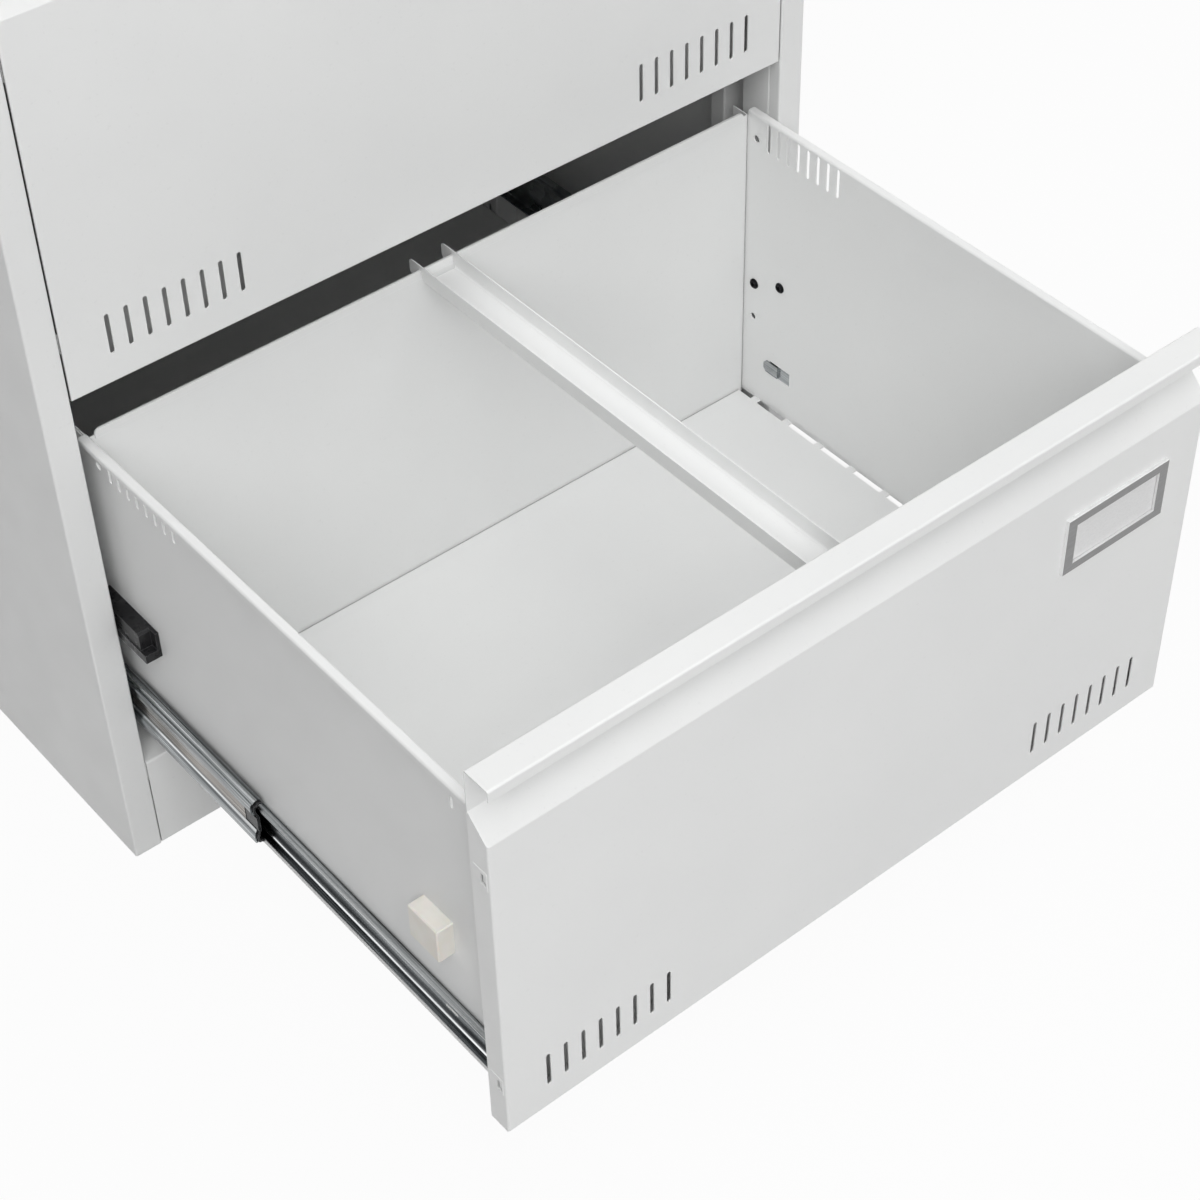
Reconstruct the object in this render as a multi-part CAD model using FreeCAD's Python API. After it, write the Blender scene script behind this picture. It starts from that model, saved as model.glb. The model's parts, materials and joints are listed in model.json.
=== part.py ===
import FreeCAD, Part
import math
import os

# Two-drawer lateral filing cabinet in folded sheet steel, millimetres.
# It is drawn with y = 0 at the cabinet's front plane, y growing to the back, and z = 0 on the
# floor. At export everything moves by half the depth, so that the origin is the middle of the base.
# The lower drawer is drawn closed and exported pulled out, the upper drawer is closed.

V = FreeCAD.Vector

# Driving sizes of the cabinet
cabinet_width = 600.0
cabinet_depth = 450.0
kick_height = 80.0
kick_side_gap = 0.4
kick_flange = 20.0
kick_corner_relief = 1.6
cap_height = 24.0
sheet = 0.8
bend_radius = 0.8
post_width = 20.5
post_return = 10.0
post_channel_depth = 28.0
post_lap = 3.0
post_seam = 1.2
seam_radius = 0.2
panel_flange = 20.0
cap_flange = 18.0
back_fold = 12.0
bottom_fold = 15.0
cut_margin = 1.0
slot_end_facets = 4
round_facets = 16

# Driving sizes of the drawer fronts
front_height = 300.5
front_reveal = 4.0
front_side_gap = 1.2
kick_gap = 7.0
front_flange = 16.5
pull_web = 31.3
pull_bevel = 15.7
pull_reach = 4.0
pull_lip = 8.0
clip_levels = (41.5, 224.0)
clip_start = 2.2
clip_length = 4.4
clip_height = 8.4
clip_slit = 1.0
clip_sink = 0.5
clip_pad_length = 12.0
clip_pad_height = 14.4
clip_pad_rise = 0.4

# Driving sizes of the drawer boxes
box_rear_gap = 41.0
wall_top_drop = 37.5
floor_level = 14.0
wall_flange = 5.8
wall_lip = 4.0
wall_front_flange = 10.0
wall_tail_drop = 5.0
back_flange = 15.0
back_hem = 6.3
back_corner_inset = 5.0
back_corner_drop = 4.0
back_drop = 3.0
inner_front_drop = 4.0
floor_edge_gap = 4.4
floor_tab_pitch = 35.2
floor_tab_width = 6.7
floor_flange = 9.0

# Vents and slots
vent_count = 8
vent_pitch = 13.05
vent_width = 3.2
vent_height = 28.5
vent_level = 20.5
vent_from_edge = 31.2
wall_slot_count = 8
wall_slot_pitch = 9.95
wall_slot_width = 3.0
wall_slot_height = 23.0
wall_slot_drop = 2.2
wall_slot_from_back = 21.8
front_slot_place = 47.4
front_slot_level = 236.4
front_slot_height = 9.5
wall_hole_radius = 2.8
wall_hole_from_back = 9.2
wall_hole_drop = 19.5
small_hole_radius = 2.5
small_hole_from_back = 10.1
small_hole_level = 88.8

# Slides, 45 mm ball-bearing type
slide_gap = 12.7
slide_overhang = 8.3
slide_start = 19.0
slide_level = 46.2
slide_sheet = 1.0
race_play = 2.4
inner_race_play = 4.8
outer_half_height = 22.6
outer_flange = 9.5
outer_lip = 2.6
middle_offset = 2.2
middle_flange = 8.2
middle_recess = 2.2
middle_ridge = 11.5
middle_flat = 6.0
middle_step = 1.3
middle_race = 3.6
middle_edge_drop = 0.9
middle_setback = 43.0
middle_tail = 4.0
middle_notch = 11.5
inner_flange = 6.0
inner_slot_start = 58.9
inner_slot_length = 11.6
inner_slot_drop = 2.4
inner_slot_height = 1.8
race_radius = 1.4
middle_radius = 0.6
cage_sheet = 0.6
cage_flange = 5.0
cage_play = 0.3
outer_cage_start = 125.0
outer_cage_length = 180.0
inner_cage_clearance = 4.0
inner_cage_length = 112.0
end_cap_front = 1.8
end_cap_sheet = 1.2
end_cap_length = 27.0
end_cap_play = 0.3
screw_radius = 1.8
screw_head_radius = 3.3
screw_length = 6.0
screw_inset = 12.0
screw_play = 0.1
hook_height = 10.0
hook_rise = 5.8
hook_window = 22.0
hook_from_back = 29.3
hook_lap = 5.2
hook_length = 14.9
hook_corner = 2.5
hook_clearance = 1.0
hook_seat = 0.1

# Uprights that carry the slides
front_upright_start = 57.0
front_upright_width = 15.0
rear_upright_gap = 50.0
rear_upright_width = 60.0
upright_slot_pitch = 40.0
upright_slot_height = 24.0
upright_slot_width = 4.0
upright_slot_inset = 9.0
upright_slot_first = 20.0

# Catches and bumpers on the drawer walls
catch_from_back = -10.0
catch_length = 57.0
catch_height = 20.5
catch_level = {"left": 110.0, "right": 114.5}
catch_plate = 2.6
catch_ledge = 6.5
catch_bolt_inset = 0.8
catch_slope = 1.5
side_clearance = 1.0
bumper_start = 56.5
bumper_length = 28.0
bumper_height = 27.0
bumper_level = 104.0
bumper_bevel = 0.8
catch_screw_places = ((10.8, 4.4), (38.1, 16.0))
catch_screw_radius = 1.9
catch_screw_head_radius = 4.0
catch_screw_head = 1.8
catch_screw_length = 7.0
recess_half_width = 0.5

# Label holder
label_width = 89.4
label_height = 44.6
label_thickness = 2.6
label_from_edge = 30.3
label_from_fold = 29.9
label_side_bar = 8.0
label_end_bar = 6.5
label_card_depth = 0.9
label_card_lap = 3.5

# Divider channel
divider_width = 26.6
divider_height = 12.6
divider_centre = -3.95
divider_bend = 1.4
divider_rise = 3.5
divider_clearance = 0.4
divider_hook = 11.0
divider_hook_drop = 8.0
divider_front = 9.2
divider_relief = 5.0
divider_tab_radius = 3.0

# How far the lower drawer stands short of its full travel, which equals the slide's length
open_shortfall = 7.7

# Places that follow from the driving sizes
half_width = cabinet_width / 2
opening_half = half_width - post_width
front_half = opening_half - front_side_gap
face_height = front_height - pull_web - pull_bevel
drawer_pitch = front_height + front_reveal
drawer_base = {"lower": kick_height + kick_gap}
drawer_base["upper"] = drawer_base["lower"] + drawer_pitch
shell_height = drawer_base["upper"] + drawer_pitch
cabinet_height = shell_height + cap_height
wall_outer = opening_half - slide_gap
wall_inner = wall_outer - sheet
wall_top = front_height - wall_top_drop
box_front = front_flange + sheet
box_back = cabinet_depth - box_rear_gap
slide_length = box_back - box_front + slide_overhang
lower_drawer_open = slide_length - open_shortfall
rear_upright_start = cabinet_depth - rear_upright_gap - rear_upright_width
inner_front_top = wall_top - inner_front_drop
hook_window_rear = box_back - hook_from_back
hook_level = slide_level + hook_rise
back_low = floor_level - back_drop
middle_half_height = outer_half_height - slide_sheet - race_play
inner_half_height = middle_half_height - slide_sheet - inner_race_play
middle_length = slide_length - middle_setback - middle_tail
inner_cage_start = slide_start + middle_setback + end_cap_length + slide_length / 4 + inner_cage_clearance
sides = ("left", "right")


# Sheet metal helpers

def point_on(axis, start, a, b):
    """Puts a section point (a, b) in space for a section that is extruded along an axis."""
    if axis == "x":
        return V(start, a, b)
    if axis == "y":
        return V(a, start, b)
    return V(a, b, start)


def direction(axis, length):
    return {"x": V(length, 0, 0), "y": V(0, length, 0), "z": V(0, 0, length)}[axis]


def bend_arcs(points, thickness, side, radius):
    """Gives the two faces of a folded strip: their end points, and an arc at each bend."""
    normals = []
    for p, q in zip(points, points[1:]):
        length = math.dist(p, q)
        normals.append(((p[1] - q[1]) / length * side, (q[0] - p[0]) / length * side))
    faces = []
    for shift in (0.0, thickness):
        face = [[shifted(points[0], normals[0], shift)]]
        for corner, n0, n1 in zip(points[1:-1], normals, normals[1:]):
            middle = (n0[0] + n1[0], n0[1] + n1[1])
            size = math.hypot(*middle)
            inside = 1 if (n0[0] * n1[1] - n0[1] * n1[0]) * side > 0 else -1
            reach = radius + thickness if inside > 0 else radius
            centre = shifted(corner, middle, 2 * inside * reach / size ** 2)
            across = (n0, (middle[0] / size, middle[1] / size), n1)
            face.append([shifted(centre, n, shift - inside * reach) for n in across])
        face.append([shifted(points[-1], normals[-1], shift)])
        faces.append(face)
    return faces


def shifted(point, way, distance):
    return point[0] + way[0] * distance, point[1] + way[1] * distance


def edges_of(face, place):
    """Turns one face of a folded strip into lines and arcs."""
    edges = []
    last = face[0][0]
    for stretch in face[1:]:
        if math.dist(last, stretch[0]) > 1e-6:
            edges.append(Part.LineSegment(place(*last), place(*stretch[0])).toShape())
        if len(stretch) > 1:
            edges.append(Part.Arc(*[place(*point) for point in stretch]).toShape())
        last = stretch[-1]
    return edges


def folded(axis, start, length, points, side=1, thickness=sheet, radius=bend_radius):
    """Extrudes a strip folded along points; side 1 puts the metal to the left of the path."""
    faces = bend_arcs(points, thickness, side, radius)

    def place(a, b):
        return point_on(axis, start, a, b)

    edges = edges_of(faces[0], place) + edges_of(faces[1], place)
    for end in (0, -1):
        edges.append(Part.LineSegment(place(*faces[0][end][0]), place(*faces[1][end][0])).toShape())
    wire = Part.Wire(Part.__sortEdges__(edges))
    return Part.Face(wire).extrude(direction(axis, length))


def plate(x, y, z):
    """A flat rectangular piece between pairs of limits."""
    low = V(min(x), min(y), min(z))
    return Part.makeBox(abs(x[1] - x[0]), abs(y[1] - y[0]), abs(z[1] - z[0]), low)


def outline_plate(axis, start, length, points):
    """A flat piece with a straight-sided outline."""
    corners = [point_on(axis, start, *p) for p in points]
    return Part.Face(Part.makePolygon(corners + corners[:1])).extrude(direction(axis, length))


def upright_slot(axis, start, length, a, low, high, width):
    """A slot that stands upright at a, from low to high, with faceted round ends."""
    r = width / 2
    outline = []
    for centre, first in ((high - r, 0.0), (low + r, math.pi)):
        for i in range(slot_end_facets + 1):
            angle = first + math.pi * i / slot_end_facets
            outline.append((a + r * math.cos(angle), centre + r * math.sin(angle)))
    return outline_plate(axis, start, length, outline)


def ring(at, radius):
    """Faceted circle round a point, in a plane across x."""
    points = []
    for i in range(round_facets + 1):
        angle = 2 * math.pi * i / round_facets
        points.append(at + V(0, radius * math.cos(angle), radius * math.sin(angle)))
    return Part.makePolygon(points)


def pin(at, radius, length):
    """Faceted round bar that runs from a point along x."""
    return Part.Face(ring(at, radius)).extrude(V(length, 0, 0))


def taper(at, radius, end_radius, length):
    """Faceted cone that runs from a point along x."""
    return Part.makeLoft([ring(at, radius), ring(at + V(length, 0, 0), end_radius)], True, True)


def fuse(pieces):
    """Joins the sheets of one folded piece and merges their coplanar faces."""
    whole = pieces[0].multiFuse(pieces[1:]) if len(pieces) > 1 else pieces[0]
    return whole.removeSplitter()


def mirrored(shape):
    return shape.mirror(V(0, 0, 0), V(1, 0, 0))


def on_side(shape, side):
    """Pieces are drawn for the right-hand side."""
    return shape if side == "right" else mirrored(shape)


def round_edges(shape, radius, wanted):
    """Rounds the straight edges that the test picks."""
    picked = []
    for edge in shape.Edges:
        if edge.Curve.TypeId == "Part::GeomLine" and wanted(edge.CenterOfMass, edge.tangentAt(0)):
            picked.append(edge)
    return shape.makeFillet(radius, picked)


# Cabinet shell

def side_panel():
    """Side sheet with the front post, the post's return and the rear flange folded from it."""
    path = ((opening_half, post_return), (opening_half, 0), (half_width, 0),
            (half_width, cabinet_depth), (half_width - panel_flange, cabinet_depth))
    wall = folded("z", 0, shell_height, path)
    inner = half_width - sheet
    low = plate((opening_half + 2 * sheet, inner), (sheet, cabinet_depth - sheet), (0, sheet))
    high = low.translated(V(0, 0, shell_height - sheet))
    return fuse([wall, low, high])


def post_channel():
    """Second return that laps behind the post's own and runs on to the rear."""
    lap = opening_half + sheet
    rear = post_return + post_channel_depth
    step = post_return + post_seam
    path = ((lap, post_lap), (lap, step), (opening_half, step), (opening_half, rear),
            (half_width - sheet, rear))
    return folded("z", sheet, shell_height - 2 * sheet, path, side=-1, radius=seam_radius)


def upright(start, width):
    """Channel on the side panel that the cabinet members of the slides are screwed to."""
    wall = half_width - sheet
    path = ((wall, start), (opening_half, start), (opening_half, start + width), (wall, start + width))
    return folded("z", sheet, shell_height - 2 * sheet, path, side=-1)


def rear_upright():
    """The rear channel, with a row of slots punched in it for its whole height."""
    channel = upright(rear_upright_start, rear_upright_width)
    start = rear_upright_start + upright_slot_inset - upright_slot_width / 2
    level = upright_slot_first
    cuts = []
    while level + upright_slot_height < shell_height - upright_slot_first:
        cuts.append(plate((opening_half - cut_margin, opening_half + sheet + cut_margin),
                          (start, start + upright_slot_width), (level, level + upright_slot_height)))
        level += upright_slot_pitch
    return channel.cut(cuts)


def back_panel():
    """Sheet inside the rear flanges, with its side edges folded forward."""
    edge = half_width - sheet
    rear = cabinet_depth - sheet
    path = ((-edge, rear - back_fold), (-edge, rear), (edge, rear), (edge, rear - back_fold))
    return folded("z", sheet, shell_height - 2 * sheet, path, side=-1)


def cap_block(inset, low, high):
    """Block over the cabinet's footprint, inset on all sides."""
    edge = half_width - inset
    return plate((-edge, edge), (inset, cabinet_depth - inset), (low, high))


def top_cap():
    """Pan that closes the top: one sheet folded down on all four sides and turned in underneath."""
    low, high = shell_height, shell_height + cap_height
    outer = cap_block(0, low, high)
    outer = round_edges(outer, bend_radius + sheet, lambda at, way: at.z > low + sheet)
    inner = cap_block(sheet, low + sheet, high - sheet)
    inner = round_edges(inner, bend_radius, lambda at, way: at.z > high - 2 * sheet)
    mouth = cap_block(cap_flange, low - cut_margin, low + sheet + cut_margin)
    return outer.cut([inner, mouth])


def kick_plate():
    """Plinth front between the posts, flush with them, folded back on all four sides."""
    edge = opening_half - kick_side_gap
    path = ((kick_flange, 0), (0, 0), (0, kick_height), (kick_flange, kick_height))
    pieces = [folded("x", -edge, 2 * edge, path, side=-1)]
    top = kick_height - sheet - bottom_fold - kick_corner_relief
    for sign in (-1, 1):
        pieces.append(plate((sign * edge, sign * (edge - sheet)), (sheet / 2, kick_flange), (sheet / 2, top)))
    return fuse(pieces)


def bottom_panel():
    """Pan under the lower drawer: it laps under the kick plate's top flange."""
    top = kick_height - sheet
    front, rear = sheet + bend_radius, cabinet_depth - 2 * sheet
    edge = opening_half
    path = ((-edge, top - bottom_fold), (-edge, top), (edge, top), (edge, top - bottom_fold))
    return folded("y", front, rear - front, path, side=-1)


# Drawer fronts

def front_tray(inset):
    """Solid wedge behind the face, its four face edges rounded; two of them make a hollow sheet."""
    depth = front_flange + inset
    edge = front_half - inset
    slope = inset * (math.sqrt(2) - 1)
    rise = pull_bevel - bend_radius - sheet
    top = face_height + rise
    outline = ((depth, inset), (inset, inset), (inset, face_height - slope),
               (rise + inset + slope, top), (depth, top))
    body = outline_plate("x", -edge, 2 * edge, outline)
    return round_edges(body, bend_radius + sheet - inset, lambda at, way: abs(at.y - inset) < 0.01)


def front_skin():
    """One sheet: bottom return, face, bevel, back of the finger channel, pull plate and lip."""
    tray = front_tray(0).cut(front_tray(sheet))
    start = pull_bevel / 3
    top = front_height - sheet
    lip = sheet - pull_reach
    path = ((start, face_height + start), (pull_bevel, face_height + pull_bevel), (pull_bevel, top),
            (lip, top), (lip, front_height - pull_lip))
    pull = folded("x", -front_half, 2 * front_half, path, side=-1)
    pads = [clip_pad(sign, level) for sign in (-1, 1) for level in clip_levels]
    skin = fuse([tray, pull] + pads)
    cuts = []
    for sign in (-1, 1):
        for i in range(vent_count):
            x = sign * (front_half - vent_from_edge - i * vent_pitch)
            cuts.append(upright_slot("y", -cut_margin, sheet + 2 * cut_margin, x, vent_level,
                                     vent_level + vent_height, vent_width))
        for level in clip_levels:
            cuts += clip_cuts(sign, level)
    return skin.cut(cuts)


def clip_pad(sign, level):
    """Shallow boss pressed out of the side flange round a clip."""
    edge = sign * front_half
    half = clip_pad_height / 2
    top = clip_pad_rise
    pad = plate((edge - sign * top, edge + sign * top), (clip_start, clip_start + clip_pad_length),
                (level - half, level + half))
    rim = [each for each in pad.Edges if sign * (each.CenterOfMass.x - edge) > top * 0.9]
    return pad.makeChamfer(top * 0.8, rim)


def clip_cuts(sign, level):
    """A lanced clip: three sides cut through, the tongue between them pressed in."""
    edge = sign * front_half
    low, high = level - clip_height / 2, level + clip_height / 2
    end = clip_start + clip_length
    through = (edge - sign * (sheet + cut_margin), edge + sign * cut_margin)
    tongue = (edge - sign * clip_sink, edge + sign * cut_margin)
    return [plate(through, (end, end + clip_slit), (low, high)),
            plate(through, (clip_start + clip_slit, end), (high - clip_slit, high)),
            plate(through, (clip_start + clip_slit, end), (low, low + clip_slit)),
            plate(tongue, (clip_start + clip_slit, end), (low, high))]


def inner_front():
    """Flat sheet that closes the front from behind; the divider hooks over its top edge."""
    edge = front_half - sheet
    return plate((-edge, edge), (front_flange, front_flange + sheet), (sheet, inner_front_top))


# Drawer box

def drawer_side(side):
    """Right-hand wall: front flange, outward top flange with a lip, slots, holes and hook window."""
    top, low = wall_top, floor_level
    rear = box_back + sheet + back_flange
    flange_end = wall_outer + wall_flange
    path = ((wall_inner, low), (wall_inner, top), (flange_end, top), (flange_end, top - wall_lip))
    wall = folded("y", box_front, box_back - box_front, path, side=-1)
    tail = plate((wall_inner, wall_outer), (box_back - cut_margin, rear), (low, top - wall_tail_drop))
    turned = plate((wall_inner, wall_outer + wall_front_flange), (box_front, box_front + sheet),
                   (low, top - wall_lip - sheet))
    return on_side(fuse([wall, tail, turned]).cut(wall_cuts(side)), side)


def wall_cuts(side):
    """Slots, holes and the hook window of a drawer wall."""
    top = wall_top
    start, depth = wall_inner - cut_margin, sheet + 2 * cut_margin
    high = top - wall_slot_drop
    places = [box_back - wall_slot_from_back - i * wall_slot_pitch for i in range(wall_slot_count)]
    cuts = [upright_slot("x", start, depth, y, high - wall_slot_height, high, wall_slot_width)
            for y in places]
    cuts.append(upright_slot("x", start, depth, front_slot_place, front_slot_level,
                             front_slot_level + front_slot_height, wall_slot_width))
    holes = [(wall_hole_radius, wall_hole_from_back, top - wall_hole_drop),
             (small_hole_radius, small_hole_from_back, small_hole_level)]
    holes += [(catch_screw_radius, from_back, catch_level[side] + level)
              for from_back, level in catch_screw_places]
    for radius, from_back, level in holes:
        cuts.append(pin(V(start, box_back - from_back, level), radius, depth))
    half = hook_height / 2 + hook_clearance
    cuts.append(plate((start, start + depth), (hook_window_rear - hook_window, hook_window_rear),
                      (hook_level - half, hook_level + half)))
    return cuts


def drawer_back():
    """Rear wall: side flanges to the rear, hem folded forward along the top, top corners rounded."""
    top, low = wall_top, back_low
    shoulder = top - back_corner_drop
    path = ((-wall_inner, box_back + back_flange), (-wall_inner, box_back), (wall_inner, box_back),
            (wall_inner, box_back + back_flange))
    wall = folded("z", low, shoulder - low, path)
    across = (back_corner_inset - wall_inner, wall_inner - back_corner_inset)
    rise = plate(across, (box_back, box_back + sheet), (top - back_hem, top))
    hem = plate(across, (box_back - sheet, box_back), (top - back_hem, top))
    body = fuse([wall, rise, hem])

    def top_corner(at, way):
        return abs(way.y) > 0.9 and at.z > shoulder and abs(at.x) > across[1] - sheet

    return round_edges(body, back_corner_drop - sheet / 2, top_corner)


def drawer_floor():
    """Floor sheet with down-turned ends; tabs at the sides reach the walls and leave slots."""
    level = floor_level + sheet
    front, rear = box_front, box_back
    path = ((front, level - floor_flange), (front, level), (rear, level), (rear, level - floor_flange))
    body = folded("x", -wall_inner, 2 * wall_inner, path, side=-1)
    cuts = []
    for sign in (-1, 1):
        edge = sign * wall_inner
        gap = (edge - sign * floor_edge_gap, edge + sign * cut_margin)
        end = rear + cut_margin
        tab = rear - floor_tab_pitch / 2
        while end > front:
            begin = max(tab + floor_tab_width / 2, front - cut_margin)
            if end > begin:
                cuts.append(plate(gap, (begin, end), (level - floor_flange - cut_margin, level + cut_margin)))
            end = tab - floor_tab_width / 2
            tab -= floor_tab_pitch
    return body.cut(cuts)


def catch(side):
    """Black plastic catch: wall plate, bottom ledge and the bolt block that rides in them."""
    low = catch_level[side]
    high = low + catch_height
    inner, outer = wall_outer, opening_half - side_clearance
    rear = box_back - catch_from_back
    front = rear - catch_length
    nose = front + catch_ledge
    ell = ((inner, low), (outer, low), (outer, low + catch_ledge), (inner + catch_plate, low + catch_ledge),
           (inner + catch_plate, high), (inner, high))
    body = outline_plate("y", front, catch_length, ell)
    block = ((nose, low + catch_ledge), (rear, low + catch_ledge), (rear, high - catch_slope),
             (rear - catch_slope, high), (nose + catch_slope, high), (nose, high - catch_slope))
    bolt = outline_plate("x", inner + catch_plate, outer - inner - catch_plate - catch_bolt_inset, block)
    body = fuse([body, bolt])
    cuts = []
    for from_back, level in catch_screw_places:
        at = V(inner - cut_margin, box_back - from_back, low + level)
        cuts.append(pin(at, catch_screw_radius, catch_screw_length - sheet + cut_margin))
    return on_side(body.cut(cuts), side)


def bumper():
    """Ivory block on the wall that steadies the closed drawer beside the post."""
    block = plate((wall_outer, opening_half - side_clearance), (bumper_start, bumper_start + bumper_length),
                  (bumper_level, bumper_level + bumper_height))
    edges = [edge for edge in block.Edges if edge.CenterOfMass.x > wall_outer + bumper_bevel]
    return block.makeChamfer(bumper_bevel, edges)


def catch_screw(at):
    """Pan-head screw with a cross recess; its head bears on the wall at a point of the inner face."""
    rise = catch_screw_head / 2
    head = pin(at, catch_screw_head_radius, -rise)
    crown = taper(at - V(rise, 0, 0), catch_screw_head_radius, catch_screw_head_radius - rise, -rise)
    shank = pin(at, catch_screw_radius - screw_play, catch_screw_length)
    screw = fuse([head, crown, shank])
    reach = (at.x - catch_screw_head - cut_margin, at.x - rise)
    arms = []
    for wide, high in ((catch_screw_radius, recess_half_width), (recess_half_width, catch_screw_radius)):
        arms.append(plate(reach, (at.y - wide, at.y + wide), (at.z - high, at.z + high)))
    return screw.cut(arms)


def catch_screws():
    """Screws of both catches, heads inside the drawer."""
    screws = []
    for side in sides:
        for from_back, level in catch_screw_places:
            at = V(wall_inner, box_back - from_back, catch_level[side] + level)
            screws.append(on_side(catch_screw(at), side))
    return Part.Compound(screws)


def label_holder():
    """Frame with a window and a card pocket behind it."""
    right, top = front_half - label_from_edge, face_height - label_from_fold
    left, low = right - label_width, top - label_height
    body = plate((left, right), (-label_thickness, 0), (low, top))
    window = plate((left + label_side_bar, right - label_side_bar), (-label_thickness - 1, 1),
                   (low + label_end_bar, top - label_end_bar))
    lap = label_card_lap
    pocket = plate((left + label_side_bar - lap, right - label_side_bar + lap), (-label_card_depth, 1),
                   (low + label_end_bar - lap, top - label_end_bar + lap))
    frame = body.cut([window, pocket])

    def outer_rim(at, way):
        on_face = abs(at.y + label_thickness) < 0.01
        on_border = min(abs(at.x - left), abs(at.x - right), abs(at.z - low), abs(at.z - top))
        return on_face and on_border < 0.01

    return round_edges(frame, 0.5, outer_rim)


def divider():
    """Channel across the drawer that hooks over the back and over the inner front."""
    top = wall_top + divider_rise
    web = top - divider_height
    left = divider_centre - divider_width / 2
    right = left + divider_width
    front, rear = divider_front, box_back + sheet + divider_hook
    path = ((left, top), (left, web), (right, web), (right, top))
    channel = folded("y", front, rear - front, path, radius=divider_bend)
    across = (left - cut_margin, right + cut_margin)
    low = web - cut_margin
    hook_low = wall_top - divider_hook_drop
    back_gap = (box_back - sheet - divider_clearance, box_back + sheet + divider_clearance)
    front_gap = (front_flange - divider_clearance, front_flange + sheet + divider_clearance)
    cuts = [plate(across, back_gap, (low, wall_top + divider_clearance)),
            plate(across, front_gap, (low, inner_front_top + divider_clearance)),
            plate(across, (back_gap[1] - cut_margin / 2, rear + cut_margin), (low, hook_low)),
            plate(across, (front - cut_margin, front_gap[0] + cut_margin / 2), (low, hook_low)),
            bevel_clearance(across),
            relief(across, back_gap[0], web, -1),
            relief(across, front_gap[1], web, 1)]
    body = channel.cut(cuts)

    def tab_corner(at, way):
        return abs(way.x) > 0.9 and abs(at.y - rear) < 0.01

    return round_edges(body, divider_tab_radius, tab_corner)


def relief(across, at, web, way):
    """Curved cut that brings the lower edge up to the hook."""
    r = divider_relief
    low = web - cut_margin
    block = plate(across, (at, at + way * r), (low, web + r))
    rest = Part.makeCylinder(r, across[1] - across[0], V(across[0], at + way * r, web + r), V(1, 0, 0))
    return block.cut(rest)


def bevel_clearance(across):
    """Cuts the front hook along the inside of the pull's bevel."""
    gap = sheet * math.sqrt(2) + divider_clearance
    near, far = divider_front - cut_margin, front_flange
    high = wall_top + divider_rise + far
    slope = [(y, face_height + y - gap) for y in (near, far)]
    return outline_plate("x", across[0], across[1] - across[0], slope + [(far, high), (near, high)])


# Slides: sections are drawn from the cabinet side (u = 0) towards the drawer wall

def slide_section(points):
    """Section points from (distance off the cabinet plane, height) to (x, z)."""
    return [(opening_half - u, slide_level + v) for u, v in points]


def slide_outer():
    """Cabinet member: channel with lips turned in round the ball race."""
    h, f, lip = outer_half_height, outer_flange, outer_lip
    path = slide_section(((f, h - lip), (f, h), (0, h), (0, -h), (f, -h), (f, -h + lip)))
    body = folded("y", slide_start, slide_length, path, side=-1, thickness=slide_sheet, radius=race_radius)
    return body.cut([slide_screw(y, screw_play) for y in slide_screw_places()])


def middle_path(inset):
    """Section of the middle member, or of a sheet that lies inside it at a distance."""
    near, top = middle_offset + inset, middle_half_height - inset
    far = middle_offset + middle_flange
    race = near + middle_race
    half = ((far, top - middle_edge_drop), (far - 2 * middle_edge_drop, top), (race, top),
            (race - middle_step, top - middle_step), (near, top - middle_step),
            (near, middle_ridge), (near + middle_recess, middle_flat))
    return slide_section(half + tuple((u, -v) for u, v in reversed(half)))


def slide_middle():
    """Middle member: a race along each edge, its web pressed back and notched at the front."""
    start = slide_start + middle_setback
    body = folded("y", start, middle_length, middle_path(0), side=-1, thickness=slide_sheet,
                  radius=middle_radius)
    deep = middle_offset + middle_recess
    across = (opening_half - deep + cut_margin, opening_half - deep - slide_sheet - cut_margin)
    notch = plate(across, (start - cut_margin, start + middle_notch),
                  (slide_level - middle_flat, slide_level + middle_flat))
    return body.cut(notch)


def slide_inner():
    """Drawer member, with the hook that goes through the drawer wall's window and laps it."""
    h = inner_half_height
    wall, free = slide_gap, slide_gap - inner_flange
    path = slide_section(((free, h), (wall, h), (wall, -h), (free, -h)))
    body = folded("y", slide_start, slide_length, path, side=1, thickness=slide_sheet, radius=race_radius)
    middle = slide_level - inner_slot_drop
    slot = plate((wall_outer - cut_margin, wall_outer + slide_sheet + cut_margin),
                 (inner_slot_start, inner_slot_start + inner_slot_length),
                 (middle - inner_slot_height / 2, middle + inner_slot_height / 2))
    rear = hook_window_rear + hook_lap
    front = rear - hook_length
    low, high = hook_level - hook_height / 2, hook_level + hook_height / 2
    face = wall_inner - hook_seat
    neck = plate((face - slide_sheet, wall_outer + slide_sheet / 2), (front, front + slide_sheet),
                 (low, high))
    corner = hook_corner
    outline = ((front, low), (rear - corner, low), (rear, low + corner), (rear, high - corner),
               (rear - corner, high), (front, high))
    tongue = outline_plate("x", face - slide_sheet, slide_sheet, outline)
    return fuse([body.cut(slot), neck, tongue])


def cage(start, length, web, half_height, reach):
    """Ball retainer folded round the race, between two members."""
    corners = ((reach, half_height), (web, half_height), (web, -half_height), (reach, -half_height))
    path = slide_section(corners)
    return folded("y", start, length, path, side=-1, thickness=cage_sheet, radius=0.6)


def outer_cage():
    half = (outer_half_height - slide_sheet + middle_half_height + cage_sheet) / 2
    web = (slide_sheet + middle_offset - cage_sheet) / 2
    return cage(outer_cage_start, outer_cage_length, web, half, web + cage_flange)


def inner_cage():
    half = (middle_half_height - slide_sheet + inner_half_height + cage_sheet) / 2
    web = middle_offset + middle_recess + slide_sheet + cage_play
    return cage(inner_cage_start, inner_cage_length, web, half, web + cage_flange)


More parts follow.
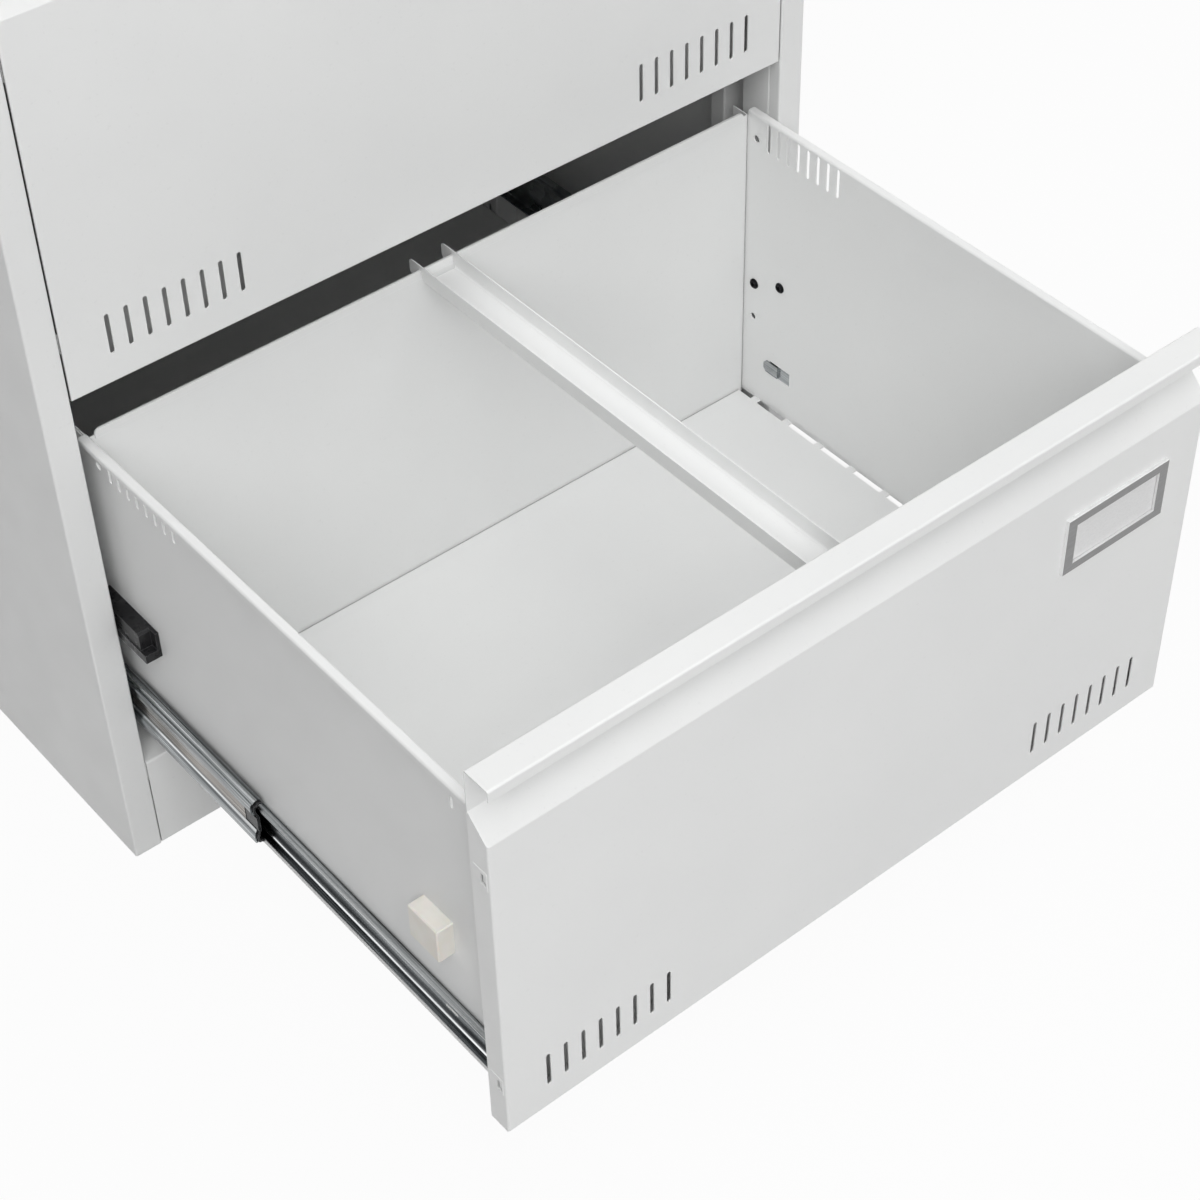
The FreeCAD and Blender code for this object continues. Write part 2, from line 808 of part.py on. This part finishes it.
def end_cap():
    """Black insert that lines the front of the middle member and fills the notch in its web."""
    start = slide_start + middle_setback
    path = middle_path(slide_sheet + end_cap_play)
    lining = folded("y", start - end_cap_front, end_cap_front + end_cap_length, path, side=-1,
                    thickness=end_cap_sheet, radius=middle_radius)
    near = middle_offset + middle_recess + end_cap_play
    across = (opening_half - near, opening_half - near - slide_sheet - end_cap_sheet / 2)
    half = middle_flat - end_cap_play
    plug = plate(across, (start - end_cap_front, start + middle_notch - end_cap_play),
                 (slide_level - half, slide_level + half))
    return fuse([lining, plug])


def slide_screw_places():
    return (front_upright_start + front_upright_width / 2,
            rear_upright_start + rear_upright_width - screw_inset)


def slide_screw(y, play):
    """Countersunk screw through the cabinet member into an upright."""
    face = V(opening_half - slide_sheet, y, slide_level)
    depth = screw_head_radius - screw_radius
    head = taper(face, screw_head_radius + play, screw_radius + play, depth)
    shank = pin(face, screw_radius + play, screw_length)
    return head.fuse(shank)


# Assembly

def lifted(shape, name):
    return shape.translated(V(0, 0, drawer_base[name]))


def drawer_parts(name):
    """Pieces that move with a drawer, closed."""
    parts = {
        "front": front_skin(),
        "inner_front": inner_front(),
        "back": drawer_back(),
        "floor": drawer_floor(),
        "label_holder": label_holder(),
        "screws": catch_screws(),
    }
    for side in sides:
        parts[side + "_side"] = drawer_side(side)
        parts[side + "_catch"] = catch(side)
        parts[side + "_bumper"] = on_side(bumper(), side)
        parts[side + "_slide_inner"] = on_side(slide_inner(), side)
    return {name + "_drawer_" + key: lifted(shape, name) for key, shape in parts.items()}


def slide_parts(name):
    """Cabinet and middle members and ball cages of one drawer's two slides, closed."""
    fixed, middle, cages = {}, {}, {}
    for side in sides:
        fixed[name + "_" + side + "_slide_outer"] = on_side(slide_outer(), side)
        middle[name + "_" + side + "_slide_middle"] = on_side(slide_middle(), side)
        middle[name + "_" + side + "_slide_end_cap"] = on_side(end_cap(), side)
    cages[name + "_outer_ball_cages"] = Part.Compound([on_side(outer_cage(), side) for side in sides])
    cages[name + "_inner_ball_cages"] = Part.Compound([on_side(inner_cage(), side) for side in sides])
    return [{key: lifted(shape, name) for key, shape in group.items()} for group in (fixed, middle, cages)]


def cabinet_parts():
    parts = {
        "back_panel": back_panel(),
        "top_cap": top_cap(),
        "kick_plate": kick_plate(),
        "bottom_panel": bottom_panel(),
    }
    holes = []
    for name in drawer_base:
        holes += [lifted(slide_screw(y, screw_play), name) for y in slide_screw_places()]
    front = upright(front_upright_start, front_upright_width).cut(holes)
    rear = rear_upright().cut(holes)
    screws = []
    for side in sides:
        parts[side + "_side_panel"] = on_side(side_panel(), side)
        parts[side + "_post_channel"] = on_side(post_channel(), side)
        parts[side + "_front_upright"] = on_side(front, side)
        parts[side + "_rear_upright"] = on_side(rear, side)
        for name in drawer_base:
            screws += [on_side(lifted(slide_screw(y, 0), name), side) for y in slide_screw_places()]
    parts["slide_screws"] = Part.Compound(screws)
    return parts


def assembly():
    """All pieces where they are at rest: the lower drawer out, the upper drawer closed."""
    parts = cabinet_parts()
    for name in drawer_base:
        out = lower_drawer_open if name == "lower" else 0.0
        fixed, middle, cages = slide_parts(name)
        parts.update(fixed)
        shares = [(middle, 0.5), (drawer_parts(name), 1.0),
                  ({name + "_divider": lifted(divider(), name)}, 1.0)]
        for (key, shape), share in zip(cages.items(), (0.25, 0.75)):
            shares.append(({key: shape}, share))
        for group, share in shares:
            for key, shape in group.items():
                parts[key] = shape.translated(V(0, -share * out, 0))
    return parts


os.makedirs("parts", exist_ok=True)
for node, solid in assembly().items():
    solid.translated(V(0, -cabinet_depth / 2, 0)).exportStep("parts/" + node + ".step")
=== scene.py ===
import json
import math

import bmesh
import bpy
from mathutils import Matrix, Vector


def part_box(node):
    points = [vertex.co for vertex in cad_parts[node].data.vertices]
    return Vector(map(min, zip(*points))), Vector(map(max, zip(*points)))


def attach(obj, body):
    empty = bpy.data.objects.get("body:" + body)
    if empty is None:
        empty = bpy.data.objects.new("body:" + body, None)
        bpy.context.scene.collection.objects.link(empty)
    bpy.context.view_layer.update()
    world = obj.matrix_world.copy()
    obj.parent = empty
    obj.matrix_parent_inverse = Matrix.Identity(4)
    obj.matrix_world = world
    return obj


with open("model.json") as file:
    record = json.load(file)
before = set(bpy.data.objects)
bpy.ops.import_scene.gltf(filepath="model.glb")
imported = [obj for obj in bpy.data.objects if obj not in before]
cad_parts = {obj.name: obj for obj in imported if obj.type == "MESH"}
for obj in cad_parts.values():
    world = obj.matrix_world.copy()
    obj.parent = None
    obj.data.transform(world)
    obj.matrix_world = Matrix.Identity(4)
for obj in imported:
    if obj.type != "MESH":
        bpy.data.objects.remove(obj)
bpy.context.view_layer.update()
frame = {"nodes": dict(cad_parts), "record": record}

# Colours, in scene-linear values
white_paint = (0.855, 0.86, 0.855)
white_paint_shade = (0.83, 0.835, 0.832)
# Painted highlight, on sheet edges and at the drawer members' slots
painted_highlight_white = (0.97, 0.975, 0.97)
# Painted shade in narrow gaps and seams
seam_shade_dark = (0.06, 0.06, 0.06)
zinc = (0.40, 0.42, 0.43)
zinc_shade = (0.22, 0.235, 0.245)
# Slide tones: painted highlight, painted reflections and painted shade; the bright and dark ones also
# make streaks along draw lines
highlight_and_streak_steel = (0.92, 0.94, 0.95)
pale_steel = (0.62, 0.63, 0.64)
satin_steel = (0.34, 0.36, 0.37)
grey_steel = (0.22, 0.235, 0.24)
painted_warm_reflection = (0.20, 0.175, 0.15)
dark_reflection_and_streak = (0.035, 0.04, 0.045)
painted_black_shade = (0.006, 0.008, 0.010)
black_plastic = (0.012, 0.012, 0.013)
black_plastic_shade = (0.02, 0.02, 0.021)
ivory = (0.90, 0.875, 0.82)
ivory_shade = (0.86, 0.83, 0.765)
frame_grey = (0.28, 0.28, 0.28)
frame_grey_shade = (0.235, 0.235, 0.237)
# Painted highlight on the label frame's rims
frame_rim_highlight = (0.86, 0.86, 0.86)
black_oxide = (0.02, 0.02, 0.022)
card_white = (0.82, 0.82, 0.82)
card_shade = (0.77, 0.77, 0.772)
# Painted highlight along the label card's edges
card_edge_highlight = (0.97, 0.97, 0.97)
# Painted highlights on the plastics' edges
nylon_edge_highlight = (0.30, 0.30, 0.31)
ivory_edge_highlight = (0.95, 0.93, 0.88)

# Painted highlights, reflections and shade lines along the slides, in mm. Sides go by height above the
# slide's middle line, tops and floors by distance from the cabinet's middle plane.
middle_sides = ((-19.2, satin_steel), (-14.0, grey_steel), (-11.0, satin_steel), (-8.6, dark_reflection_and_streak),
                (-6.9, highlight_and_streak_steel), (-5.6, painted_black_shade), (-4.0, painted_warm_reflection), (3.5, painted_warm_reflection),
                (7.0, grey_steel), (13.5, grey_steel), (15.0, dark_reflection_and_streak), (17.6, satin_steel))
middle_tops = ((269.5, satin_steel), (271.2, dark_reflection_and_streak), (272.4, satin_steel), (273.4, highlight_and_streak_steel),
               (274.4, grey_steel), (275.6, satin_steel), (276.6, grey_steel), (277.4, satin_steel))
inner_sides = ((-12.4, dark_reflection_and_streak), (-12.1, highlight_and_streak_steel), (-11.5, highlight_and_streak_steel), (-10.8, painted_black_shade),
               (-8.0, dark_reflection_and_streak), (-5.6, dark_reflection_and_streak), (-4.2, grey_steel), (-1.2, satin_steel),
               (0.4, dark_reflection_and_streak), (12.0, dark_reflection_and_streak), (13.2, satin_steel))
inner_tops = ((267.6, painted_black_shade), (268.4, grey_steel), (269.6, pale_steel), (270.6, satin_steel),
              (271.6, pale_steel), (273.0, highlight_and_streak_steel))
inner_floors = ((267.8, highlight_and_streak_steel), (268.6, highlight_and_streak_steel), (269.1, dark_reflection_and_streak), (270.6, dark_reflection_and_streak),
                (271.4, grey_steel), (272.2, grey_steel), (272.7, painted_black_shade))

# The drawer member's web lies nearer the cabinet's middle plane than this and stays plain zinc, in mm
web_reach = 267.0
web_fade = 0.4

# Painted highlight at the slot in each drawer member, in mm: its middle behind the member's front end,
# its height above the slide's middle line, and its size
slot_highlight_setback = 45.7
slot_highlight_height = -3.3
slot_highlight_length = 11.6
slot_highlight_width = 1.7
slot_highlight_fade = 0.4

# Powder coat: specks, painted shade in seams and gaps, and painted highlights on edges, lengths in
# metres
speck_share = 0.18
speck_darkening = 0.82
seam_reach = 0.008
seam_closed, seam_open = 0.20, 0.50
highlight_edge_width = 0.0007
paint_shine = 0.42

# Plastic and label frame
# Width of the painted edge highlights on the plastics and the label frame
small_edge_highlight_width = 0.0003
plastic_shine = 0.28
nylon_glow_depth = 0.004
card_highlight_width = 0.0006
frame_metal_share = 0.85

# Label card, in metres
card_border = (0.0055, 0.0, 0.004)
card_recess = 0.00045
card_thickness = 0.00025
card_bow = 0.00015
card_columns = 24

# Camera, from the photograph's perspective
camera_place = (-0.7777, -1.3507, 1.3730)
camera_turn = (45.835, 0.158, -40.396)
camera_lens = 78.706
camera_shift = (-0.0549, 0.0038)

# Studio
floor_size = 14.0
floor_cells = 8
floor_colour = (0.60, 0.60, 0.60)
floor_glow = 0.95
sky_level = 0.12
background_level = 1.0
lamps = (
    ("overhead", (0.1, -0.3, 3.4), 2.6, 32.0),
    ("high_front", (0.3, -2.6, 2.9), 2.2, 12.0),
    ("front", (0.3, -3.5, 1.4), 2.2, 12.0),
    ("high_front_left", (-1.7, -2.4, 2.8), 2.2, 69.0),
    ("right", (3.2, -0.6, 1.9), 2.0, 30.0),
    ("rear", (0.3, 3.2, 2.2), 2.0, 12.0),
)
lamp_aim = (0.0, -0.1, 0.35)


# Node helpers

def make_material(name):
    """A material with a Principled shader, and a function that adds linked nodes to it."""
    material = bpy.data.materials.new(name)
    material.use_nodes = True
    tree = material.node_tree
    shader = tree.nodes["Principled BSDF"]
    place = tree.nodes.new("ShaderNodeTexCoord")

    def add(kind, inputs=(), **settings):
        node = tree.nodes.new("ShaderNode" + kind)
        for key, value in settings.items():
            setattr(node, key, value)
        for key, value in dict(inputs).items():
            if isinstance(value, bpy.types.NodeSocket):
                tree.links.new(value, node.inputs[key])
            else:
                node.inputs[key].default_value = value
        return node

    return material, shader, place.outputs["Object"], add


def noise(add, where, scale, detail=2.0, roughness=0.5):
    node = add("TexNoise", {"Vector": where, "Scale": scale, "Detail": detail, "Roughness": roughness})
    return node.outputs["Fac"]


def stretched(add, where, scale):
    """The texture space squeezed or drawn out along each axis."""
    return add("Mapping", {"Vector": where, "Scale": scale}).outputs["Vector"]


def ramp(add, value, low, high, start=0.0, end=1.0):
    """Maps a value onto a new range, smoothly."""
    inputs = {"Value": value, "From Min": low, "From Max": high, "To Min": start, "To Max": end}
    node = add("MapRange", inputs, interpolation_type="SMOOTHSTEP")
    return node.outputs["Result"]


def blend_colours(add, share, first, second):
    node = add("Mix", {"Factor": share}, data_type="RGBA")
    for socket, colour in ((node.inputs[6], first), (node.inputs[7], second)):
        if isinstance(colour, bpy.types.NodeSocket):
            node.id_data.links.new(colour, socket)
        else:
            socket.default_value = (*colour, 1.0)
    return node.outputs[2]


def bands(add, value, stops):
    """Colours along a value, from the first stop to the last."""
    low, high = stops[0][0], stops[-1][0]
    share = add("MapRange", {"Value": value, "From Min": low, "From Max": high}).outputs["Result"]
    node = add("ValToRGB", {"Fac": share})
    points = node.color_ramp.elements
    while len(points) < len(stops):
        points.new(1.0)
    for point, (place, colour) in zip(points, stops):
        point.position = (place - low) / (high - low)
        point.color = (*colour, 1.0)
    return node.outputs["Color"]


def millimetres(add, where):
    """The coordinates in millimetres. The first is the distance from the cabinet's middle plane."""
    scaled = add("VectorMath", {0: where, "Scale": 1000.0}, operation="SCALE").outputs["Vector"]
    axes = add("SeparateXYZ", {"Vector": scaled}).outputs
    return add("Math", {0: axes["X"]}, operation="ABSOLUTE").outputs[0], axes["Y"], axes["Z"]


def maths(add, operation, first, second):
    return add("Math", {0: first, 1: second}, operation=operation).outputs[0]


def painted_seam_shade(add, reach, closed, clear):
    """1 deep in narrow gaps and seams, where shade falls, and 0 on open faces: a mask for painted
    shade.
    """
    node = add("AmbientOcclusion", {"Distance": reach}, samples=6)
    return ramp(add, node.outputs["AO"], closed, clear, 1.0, 0.0)


def edges(add, radius):
    """1 along sheet edges and bends, 0 on flat faces."""
    rounded = add("Bevel", {"Radius": radius}, samples=4).outputs["Normal"]
    flat = add("NewGeometry").outputs["Normal"]
    likeness = add("VectorMath", {0: rounded, 1: flat}, operation="DOT_PRODUCT").outputs["Value"]
    return ramp(add, likeness, 0.80, 0.995, 1.0, 0.0)


def bump(add, height, distance, strength, normal=None):
    inputs = {"Height": height, "Distance": distance, "Strength": strength}
    if normal is not None:
        inputs["Normal"] = normal
    return add("Bump", inputs).outputs["Normal"]


def connect(shader, **sockets):
    """Links node outputs to the shader's inputs; plain values are set on the input itself."""
    for name, value in sockets.items():
        socket = shader.inputs[name.replace("_", " ")]
        if isinstance(value, bpy.types.NodeSocket):
            shader.id_data.links.new(value, socket)
        else:
            socket.default_value = value


# Materials

def powder_coat(name, colour, shade, gloss, seam_shade_share):
    """Powder coat: orange peel, faint clouds and specks, painted shade in seams and painted highlights
    on edges.
    """
    material, shader, where, add = make_material(name)
    clouds = noise(add, where, scale=5.0, detail=3.0)
    specks = ramp(add, noise(add, where, scale=420.0), 0.66, 0.74)
    specks = ramp(add, specks, 0.0, 1.0, 0.0, speck_share)
    seam_shade_mask = maths(add, "MULTIPLY", painted_seam_shade(add, seam_reach, seam_closed, seam_open), seam_shade_share)
    base = blend_colours(add, ramp(add, clouds, 0.3, 0.7), colour, shade)
    base = blend_colours(add, specks, base, [part * speck_darkening for part in colour])
    # Painted shade: darker in narrow gaps and seams
    base = blend_colours(add, seam_shade_mask, base, seam_shade_dark)
    # Painted highlight along sheet edges and bends
    base = blend_colours(add, edges(add, highlight_edge_width), base, painted_highlight_white)
    peel = noise(add, where, scale=520.0, roughness=0.45)
    grain = noise(add, where, scale=1700.0)
    waves = noise(add, where, scale=9.0, detail=1.0)
    normal = bump(add, waves, distance=0.004, strength=0.02)
    normal = bump(add, peel, distance=0.0002, strength=0.16, normal=normal)
    normal = bump(add, grain, distance=0.00006, strength=0.10, normal=normal)
    patches = noise(add, where, scale=38.0, detail=3.0)
    rough = ramp(add, patches, 0.3, 0.7, gloss - 0.04, gloss + 0.06)
    connect(shader, Base_Color=base, Roughness=rough, Normal=normal, Specular_IOR_Level=paint_shine)
    return material


def zinc_plate(name, colour, shade, gloss=0.22):
    """Rolled and zinc-plated steel: long draw lines, faint clouds and scratches."""
    material, shader, where, add = make_material(name)
    drawn = stretched(add, where, (1.0, 0.02, 1.0))
    lines = noise(add, drawn, scale=900.0, detail=4.0, roughness=0.6)
    clouds = noise(add, where, scale=46.0, detail=4.0)
    base = blend_colours(add, ramp(add, clouds, 0.35, 0.7), colour, shade)
    base = blend_colours(add, ramp(add, lines, 0.35, 0.75, 0.0, 0.5), base, shade)
    fine = stretched(add, where, (1.0, 0.01, 1.0))
    scratches = ramp(add, noise(add, fine, scale=2400.0, detail=1.0), 0.62, 0.72)
    rough = ramp(add, clouds, 0.3, 0.75, gloss, gloss + 0.14)
    normal = bump(add, lines, distance=0.00008, strength=0.25)
    normal = bump(add, scratches, distance=0.00004, strength=0.2, normal=normal)
    connect(shader, Base_Color=base, Roughness=rough, Normal=normal, Metallic=1.0)
    return material


def within(add, value, middle, half, fade):
    """1 within half of the middle, and 0 beyond it."""
    away = add("Math", {0: maths(add, "SUBTRACT", value, middle)}, operation="ABSOLUTE").outputs[0]
    return ramp(add, away, half - fade, half + fade, 1.0, 0.0)


def slide_steel(name, level, sides, tops, floors=None, slot_highlight_place=None):
    """A drawn slide member: painted highlights on its bends, painted reflections and shade in its
    races, and draw lines.
    """
    material, shader, where, add = make_material(name)
    across, along, height = millimetres(add, where)
    facing = add("SeparateXYZ", {"Vector": add("NewGeometry").outputs["Normal"]}).outputs["Z"]
    up = ramp(add, facing, 0.55, 0.75)
    above = maths(add, "SUBTRACT", height, level)
    # Painted highlights, reflections and shade in bands
    flat = bands(add, across, tops)
    if floors:
        low = ramp(add, above, -2.0, 2.0, 1.0, 0.0)
        flat = blend_colours(add, low, flat, bands(add, across, floors))
    base = blend_colours(add, up, bands(add, above, sides), flat)
    base = blend_colours(add, ramp(add, across, web_reach, web_reach + web_fade, 1.0, 0.0), base, zinc)
    drawn = stretched(add, where, (1.0, 0.006, 1.0))
    lines = noise(add, drawn, scale=1500.0, detail=3.0, roughness=0.6)
    film = noise(add, stretched(add, where, (1.0, 0.12, 1.0)), scale=60.0, detail=3.0)
    # Bright and dark streaks along the draw lines
    base = blend_colours(add, ramp(add, lines, 0.52, 0.68, 0.0, 0.60), base, highlight_and_streak_steel)
    base = blend_colours(add, ramp(add, lines, 0.32, 0.47, 0.70, 0.0), base, dark_reflection_and_streak)
    base = blend_colours(add, ramp(add, film, 0.40, 0.70, 0.0, 0.30), base, satin_steel)
    metal = 1.0
    if slot_highlight_place is not None:
        # Painted highlight at the slot: pale and not metallic
        ahead = within(add, along, slot_highlight_place, slot_highlight_length / 2, slot_highlight_fade)
        beside = within(add, above, slot_highlight_height, slot_highlight_width / 2, slot_highlight_fade)
        slot_highlight_mask = maths(add, "MULTIPLY", ahead, beside)
        base = blend_colours(add, slot_highlight_mask, base, painted_highlight_white)
        metal = maths(add, "SUBTRACT", 1.0, slot_highlight_mask)
    rough = ramp(add, film, 0.3, 0.7, 0.15, 0.28)
    normal = bump(add, lines, distance=0.00006, strength=0.22)
    connect(shader, Base_Color=base, Roughness=rough, Normal=normal, Metallic=metal)
    return material


def moulded_plastic(name, colour, shade, edge_highlight_colour, gloss, texture, glow=0.0):
    """Injection-moulded plastic: fine spark texture, slightly uneven colour and painted highlights on
    its edges.
    """
    material, shader, where, add = make_material(name)
    clouds = noise(add, where, scale=60.0, detail=3.0)
    base = blend_colours(add, ramp(add, clouds, 0.35, 0.65), colour, shade)
    uneven = ramp(add, clouds, 0.25, 0.65, 0.6, 0.9)
    # Painted highlight along the edges, uneven in strength
    edge_highlight_mask = maths(add, "MULTIPLY", edges(add, small_edge_highlight_width), uneven)
    base = blend_colours(add, edge_highlight_mask, base, edge_highlight_colour)
    grain = noise(add, where, scale=texture, detail=3.0)
    rough = ramp(add, noise(add, where, scale=150.0), 0.3, 0.7, gloss - 0.06, gloss + 0.08)
    normal = bump(add, grain, distance=0.0001, strength=0.14)
    connect(shader, Base_Color=base, Roughness=rough, Normal=normal, Specular_IOR_Level=plastic_shine)
    if glow:
        connect(shader, Subsurface_Weight=glow, Subsurface_Scale=nylon_glow_depth)
    return material


def brushed_frame(name, colour, shade):
    """Satin metal of the label frame, brushed along its length, with painted highlights on its rims
    and returns.
    """
    material, shader, where, add = make_material(name)
    brushed = stretched(add, where, (0.03, 1.0, 1.0))
    lines = noise(add, brushed, scale=1500.0, detail=3.0)
    base = blend_colours(add, ramp(add, lines, 0.3, 0.7), colour, shade)
    # Painted highlight on the rims and on faces turned away from the front
    base = blend_colours(add, edges(add, small_edge_highlight_width), base, frame_rim_highlight)
    outward = add("SeparateXYZ", {"Vector": add("NewGeometry").outputs["Normal"]}).outputs["Y"]
    base = blend_colours(add, ramp(add, outward, -0.9, -0.6), base, frame_rim_highlight)
    normal = bump(add, lines, distance=0.00006, strength=0.2)
    rough = ramp(add, noise(add, where, scale=80.0), 0.3, 0.7, 0.34, 0.46)
    connect(shader, Base_Color=base, Roughness=rough, Normal=normal, Metallic=frame_metal_share)
    return material


def paper(name, colour, shade):
    """Card stock with fibres and painted highlights along its cut edges."""
    material, shader, where, add = make_material(name)
    fibres = noise(add, stretched(add, where, (1.0, 1.0, 3.0)), scale=700.0, detail=4.0)
    base = blend_colours(add, ramp(add, fibres, 0.4, 0.7), colour, shade)
    # Painted highlight along the card's edges
    base = blend_colours(add, edges(add, card_highlight_width), base, card_edge_highlight)
    normal = bump(add, fibres, distance=0.00005, strength=0.2)
    rough = ramp(add, fibres, 0.3, 0.7, 0.75, 0.9)
    connect(shader, Base_Color=base, Roughness=rough, Normal=normal)
    return material


def white_coat(name, gloss, seam_shade_share):
    return powder_coat(name, white_paint, white_paint_shade, gloss, seam_shade_share)


# The last number of each coat is the share of painted shade in its seams
looks = {
    "cabinet_paint": white_coat("cabinet_powder_coat", gloss=0.40, seam_shade_share=0.35),
    "front_paint": white_coat("front_powder_coat", gloss=0.36, seam_shade_share=1.0),
    "drawer_paint": white_coat("drawer_powder_coat", gloss=0.44, seam_shade_share=0.35),
    "zinc_steel": zinc_plate("zinc_steel", zinc, zinc_shade),
    "label_frame": brushed_frame("label_frame_metal", frame_grey, frame_grey_shade),
    "dark_screw": zinc_plate("black_oxide_steel", black_oxide, black_plastic, gloss=0.35),
    "black_plastic": moulded_plastic("black_nylon", black_plastic, black_plastic_shade, nylon_edge_highlight,
                                     gloss=0.30, texture=900.0),
    "ivory_plastic": moulded_plastic("ivory_nylon", ivory, ivory_shade, ivory_edge_highlight,
                                     gloss=0.5, texture=700.0, glow=0.15),
}


def dress(node, material):
    for place in frame["nodes"][node].material_slots:
        place.material = material


for part in frame["record"]["subparts"]:
    dress(part["node"], looks[part["material_slot"]])

for drawer in ("lower", "upper"):
    low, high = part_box(drawer + "_left_slide_outer")
    level = 1000.0 * (low[2] + high[2]) / 2
    middle_steel = slide_steel(drawer + "_middle_steel", level, middle_sides, middle_tops)
    front_end = 1000.0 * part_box(drawer + "_drawer_left_slide_inner")[0][1]
    inner_steel = slide_steel(drawer + "_inner_steel", level, inner_sides, inner_tops, inner_floors,
                              front_end + slot_highlight_setback)
    for side in ("left", "right"):
        dress(f"{drawer}_{side}_slide_middle", middle_steel)
        dress(f"{drawer}_drawer_{side}_slide_inner", inner_steel)


# Label cards

def finish_mesh(name, shape, material, body):
    mesh = bpy.data.meshes.new(name)
    shape.to_mesh(mesh)
    shape.free()
    mesh.materials.append(material)
    piece = bpy.data.objects.new(name, mesh)
    bpy.context.scene.collection.objects.link(piece)
    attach(piece, body)


def label_card(drawer):
    """A slightly bowed card in the label holder's pocket."""
    low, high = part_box(drawer + "_label_holder")
    border = Vector(card_border)
    near, far = Vector(low) + border, Vector(high) - border
    shape = bmesh.new()
    rings = []
    for i in range(card_columns + 1):
        share = i / card_columns
        x = near.x + (far.x - near.x) * share
        face = high[1] - card_recess - card_bow * math.sin(math.pi * share)
        back = face + card_thickness
        rings.append([shape.verts.new(corner) for corner in
                      ((x, face, near.z), (x, face, far.z), (x, back, far.z), (x, back, near.z))])
    for first, second in zip(rings, rings[1:]):
        for k in range(4):
            shape.faces.new((first[k], first[(k + 1) % 4], second[(k + 1) % 4], second[k]))
    shape.faces.new(rings[0][::-1])
    shape.faces.new(rings[-1])
    bmesh.ops.recalc_face_normals(shape, faces=shape.faces)
    finish_mesh(drawer + "_label_card", shape, card_material, drawer)


card_material = paper("label_card_stock", card_white, card_shade)
for drawer in ("lower_drawer", "upper_drawer"):
    label_card(drawer)


# Studio

def seen_directly(tree):
    """1 where the camera, a glossy reflection or glass sees the background."""
    path = tree.nodes.new("ShaderNodeLightPath")
    total = path.outputs["Is Camera Ray"]
    for other in ("Is Glossy Ray", "Is Transmission Ray"):
        most = tree.nodes.new("ShaderNodeMath")
        most.operation = "MAXIMUM"
        tree.links.new(total, most.inputs[0])
        tree.links.new(path.outputs[other], most.inputs[1])
        total = most.outputs[0]
    return total


def build_world():
    world = bpy.data.worlds.new("studio")
    bpy.context.scene.world = world
    world.use_nodes = True
    tree = world.node_tree
    background = tree.nodes["Background"]
    background.inputs["Color"].default_value = (1.0, 1.0, 1.0, 1.0)
    level = tree.nodes.new("ShaderNodeMapRange")
    level.inputs["To Min"].default_value = sky_level
    level.inputs["To Max"].default_value = background_level
    tree.links.new(seen_directly(tree), level.inputs["Value"])
    tree.links.new(level.outputs["Result"], background.inputs["Strength"])


def build_floor():
    shape = bmesh.new()
    bmesh.ops.create_grid(shape, x_segments=floor_cells, y_segments=floor_cells, size=floor_size / 2)
    mesh = bpy.data.meshes.new("floor")
    shape.to_mesh(mesh)
    shape.free()
    floor = bpy.data.objects.new("floor", mesh)
    bpy.context.scene.collection.objects.link(floor)
    material = bpy.data.materials.new("floor_white")
    material.use_nodes = True
    tree = material.node_tree
    tree.nodes.remove(tree.nodes["Principled BSDF"])
    matte = tree.nodes.new("ShaderNodeBsdfDiffuse")
    matte.inputs["Color"].default_value = (*floor_colour, 1.0)
    glow = tree.nodes.new("ShaderNodeEmission")
    mix = tree.nodes.new("ShaderNodeMixShader")
    share = tree.nodes.new("ShaderNodeMath")
    share.operation = "MULTIPLY"
    share.inputs[1].default_value = floor_glow
    tree.links.new(seen_directly(tree), share.inputs[0])
    tree.links.new(share.outputs[0], mix.inputs[0])
    tree.links.new(matte.outputs[0], mix.inputs[1])
    tree.links.new(glow.outputs[0], mix.inputs[2])
    tree.links.new(mix.outputs[0], tree.nodes["Material Output"].inputs["Surface"])
    mesh.materials.append(material)


def build_lamp(name, place, size, power):
    data = bpy.data.lights.new(name, "AREA")
    data.shape = "SQUARE"
    data.size = size
    data.energy = power
    lamp = bpy.data.objects.new(name, data)
    bpy.context.scene.collection.objects.link(lamp)
    lamp.location = place
    lamp.rotation_euler = (Vector(lamp_aim) - Vector(place)).to_track_quat("-Z", "Y").to_euler()


def build_camera():
    data = bpy.data.cameras.new("camera")
    data.lens = camera_lens
    data.shift_x, data.shift_y = camera_shift
    camera = bpy.data.objects.new("camera", data)
    bpy.context.scene.collection.objects.link(camera)
    camera.location = camera_place
    camera.rotation_euler = [math.radians(angle) for angle in camera_turn]
    bpy.context.scene.camera = camera


build_world()
build_floor()
for lamp in lamps:
    build_lamp(*lamp)
build_camera()
bpy.context.scene.view_settings.view_transform = "Standard"
